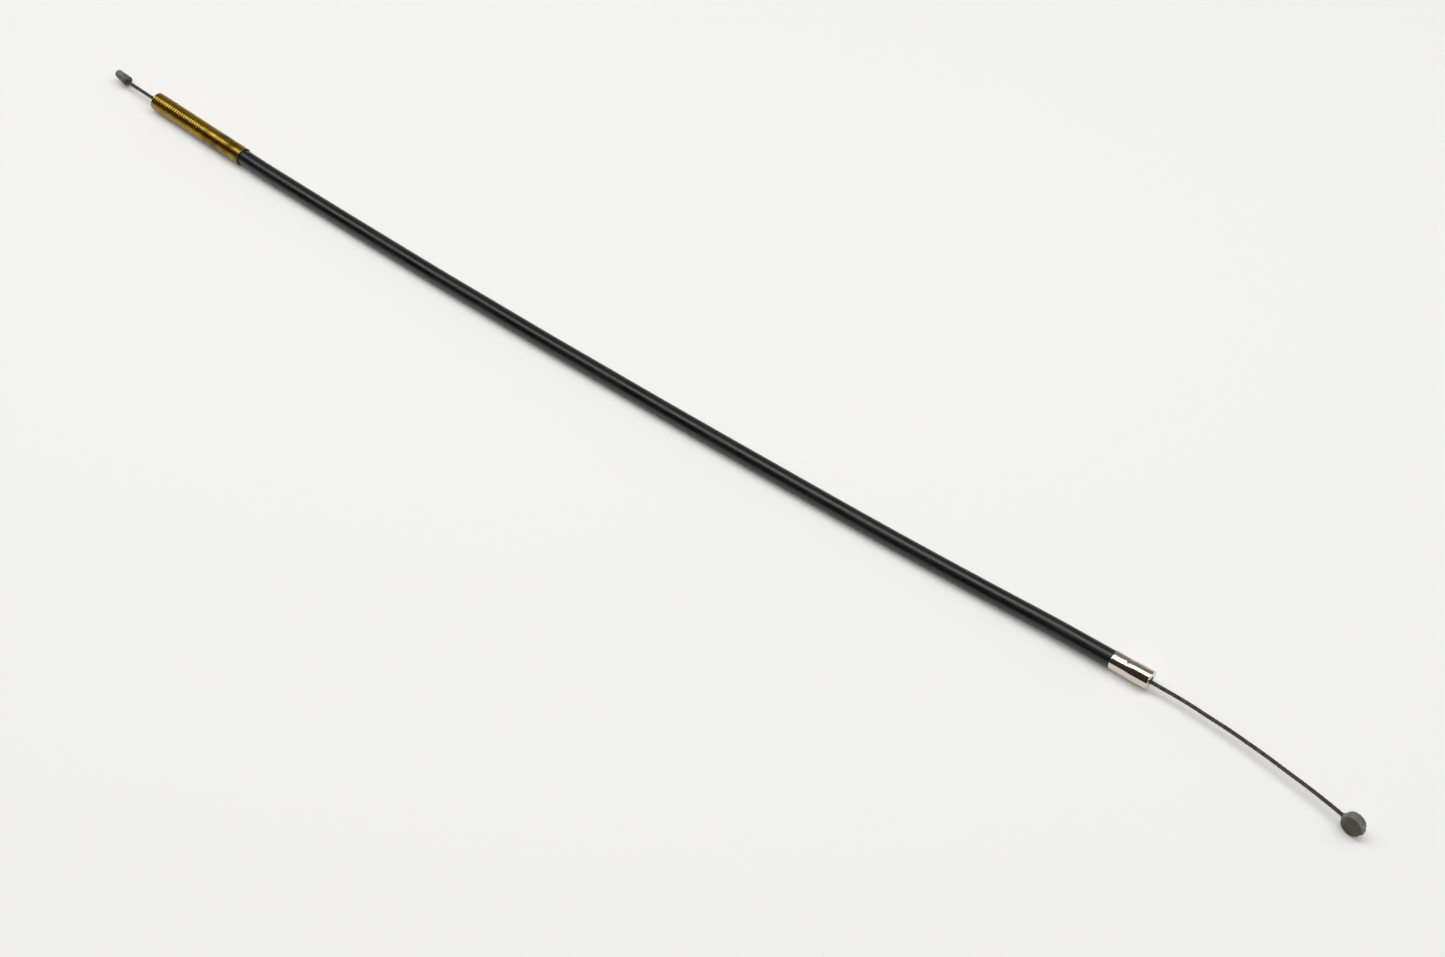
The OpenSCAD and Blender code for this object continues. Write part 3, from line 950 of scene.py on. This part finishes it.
def barrel_stain_and_shade(grid):
    """The near face is darkened as painted shade, less so towards the wire, and the side is nearly clean."""
    # Painted shade on the near face.
    on_face = 1 - smoothstep(grid[..., 1], -BARREL_HALF, -BARREL_HALF + FACE_SHADE_DEPTH)
    off_wire = smoothstep(grid[..., 0], WIRE_SIDE_FULL, WIRE_SIDE_END)
    over_face = WIRE_SIDE_SHADE + (1 - WIRE_SIDE_SHADE) * off_wire
    return SIDE_STAIN + (1 - SIDE_STAIN) * on_face * over_face


barrel_grid = barrel_surface()
barrel = make_surface("barrel_end_nipple", place_barrel(barrel_grid), zinc, poles=(True, True),
                      marks={"stain_and_shade": barrel_stain_and_shade(barrel_grid)})
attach(barrel, "barrel_end")
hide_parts("barrel_nipple")

# %% [markdown]
# ## Pieces inside the conduit
#
# The coil, the liner and the middle of the wire don't show, so their plain solids stay. They only
# get their own finishes.

# %% Finishes of the hidden pieces
for node, material in (("conduit_coil", coil_steel), ("conduit_liner", liner_plastic),
                       ("inner_wire_middle", coil_steel)):
    frame["nodes"][node].data.materials.clear()
    frame["nodes"][node].data.materials.append(material)
    print(node, "gets", material.name)

# %% [markdown]
# ## The flexible pieces
#
# The conduit and the bare wire are flexible.
# Both are seen from end to end, and each ends in a fitting.

# %% [markdown]
# ## Floor and light
#
# The cable lies on plain white paper. A long soft light in two lengths hangs a metre above it,
# across the view: it gives the black jacket its narrow highlight, the brass its bright stripe and
# the shadows their soft edge. A small light in front and a faint one on the right fill in. The
# room is a world that depends only on direction: pale near the horizon, darker above, and almost
# black in a lobe on the near side, which the polished metal mirrors as its dark band.

# %% Floor
FLOOR_Z = -2.92 * MM
FLOOR_HALF = 6.0
PAPER = (0.90, 0.91, 0.905, 1)
PAPER_ROUGHNESS, PAPER_SPECULAR = 0.95, 0.1


def paper_floor():
    """A large square of matte paper just under the pieces."""
    corners = [(x * FLOOR_HALF, y * FLOOR_HALF, FLOOR_Z)
               for x, y in ((-1, -1), (1, -1), (1, 1), (-1, 1))]
    mesh = bpy.data.meshes.new("paper_floor")
    mesh.from_pydata(corners, [], [(0, 1, 2, 3)])
    material = bpy.data.materials.new("white paper")
    material.use_nodes = True
    set_inputs(material.node_tree.nodes["Principled BSDF"], Base_Color=PAPER,
               Roughness=PAPER_ROUGHNESS, Specular_IOR_Level=PAPER_SPECULAR)
    return finish_object("paper_floor", mesh, material)


floor = paper_floor()
print(f"floor at {FLOOR_Z / MM:.2f} mm")

# %% Soft panels
# One row a light: name, place, width and depth in metres, watts, and turn in degrees or None.
AIM = np.array([0.2, 0.0, 0.0])
PANELS = (
    ("overhead", (0.30, 0.24, 1.00), 1.7, 0.5, 7.7, 37),
    ("overhead left", (-0.80, -0.18, 1.00), 0.8, 0.6, 3.5, -25),
    ("front", (0.88, -1.18, 2.10), 0.7, 0.7, 14.5, None),
    ("right", (2.00, 0.10, 1.70), 1.5, 1.5, 4, None))


def soft_panel(name, place, width, depth, watts, turn):
    """A rectangular soft light that hangs level and turned, or faces the cable if turn is None."""
    data = bpy.data.lights.new(name, "AREA")
    data.shape = "RECTANGLE"
    data.size, data.size_y, data.energy = width, depth, watts
    light = bpy.data.objects.new(name, data)
    light.location = place
    facing = Vector(np.array(place) - AIM).to_track_quat("Z", "Y").to_euler()
    light.rotation_euler = facing if turn is None else (0, 0, math.radians(turn))
    bpy.context.scene.collection.objects.link(light)
    return light


for panel in PANELS:
    print("light", soft_panel(*panel).name)

# %% Room
WALL, CEILING, NEAR_SIDE = (0.62, 0.61, 0.60), (0.24, 0.22, 0.19), (0.035, 0.026, 0.020)
NEAR_WAY = (-0.20, -0.80, 0.50)


def room_world():
    """Radiance by direction: pale low down, grey above, and dark in a soft lobe round one way,
    where the dot product of the two directions is high."""
    world = bpy.data.worlds.new("room")
    world.use_nodes = True
    tree = world.node_tree
    way = add_node(tree, "ShaderNodeTexCoord").outputs["Generated"]
    height = add_node(tree, "ShaderNodeSeparateXYZ", Vector=way).outputs["Z"]
    wall = mixed(tree, ranged(tree, height, high=0.5), WALL, CEILING)
    lobe = add_node(tree, "ShaderNodeVectorMath", {"operation": "DOT_PRODUCT"})
    plug(lobe.inputs[0], way)
    plug(lobe.inputs[1], NEAR_WAY)
    dark = ranged(tree, lobe.outputs["Value"], low=0.35, high=0.75)
    above = ranged(tree, height, high=0.03)
    colour = mixed(tree, maths(tree, "MULTIPLY", dark, above), wall, NEAR_SIDE)
    set_inputs(tree.nodes["Background"], Color=colour)
    return world


bpy.context.scene.world = room_world()
print("world:", bpy.context.scene.world.name)
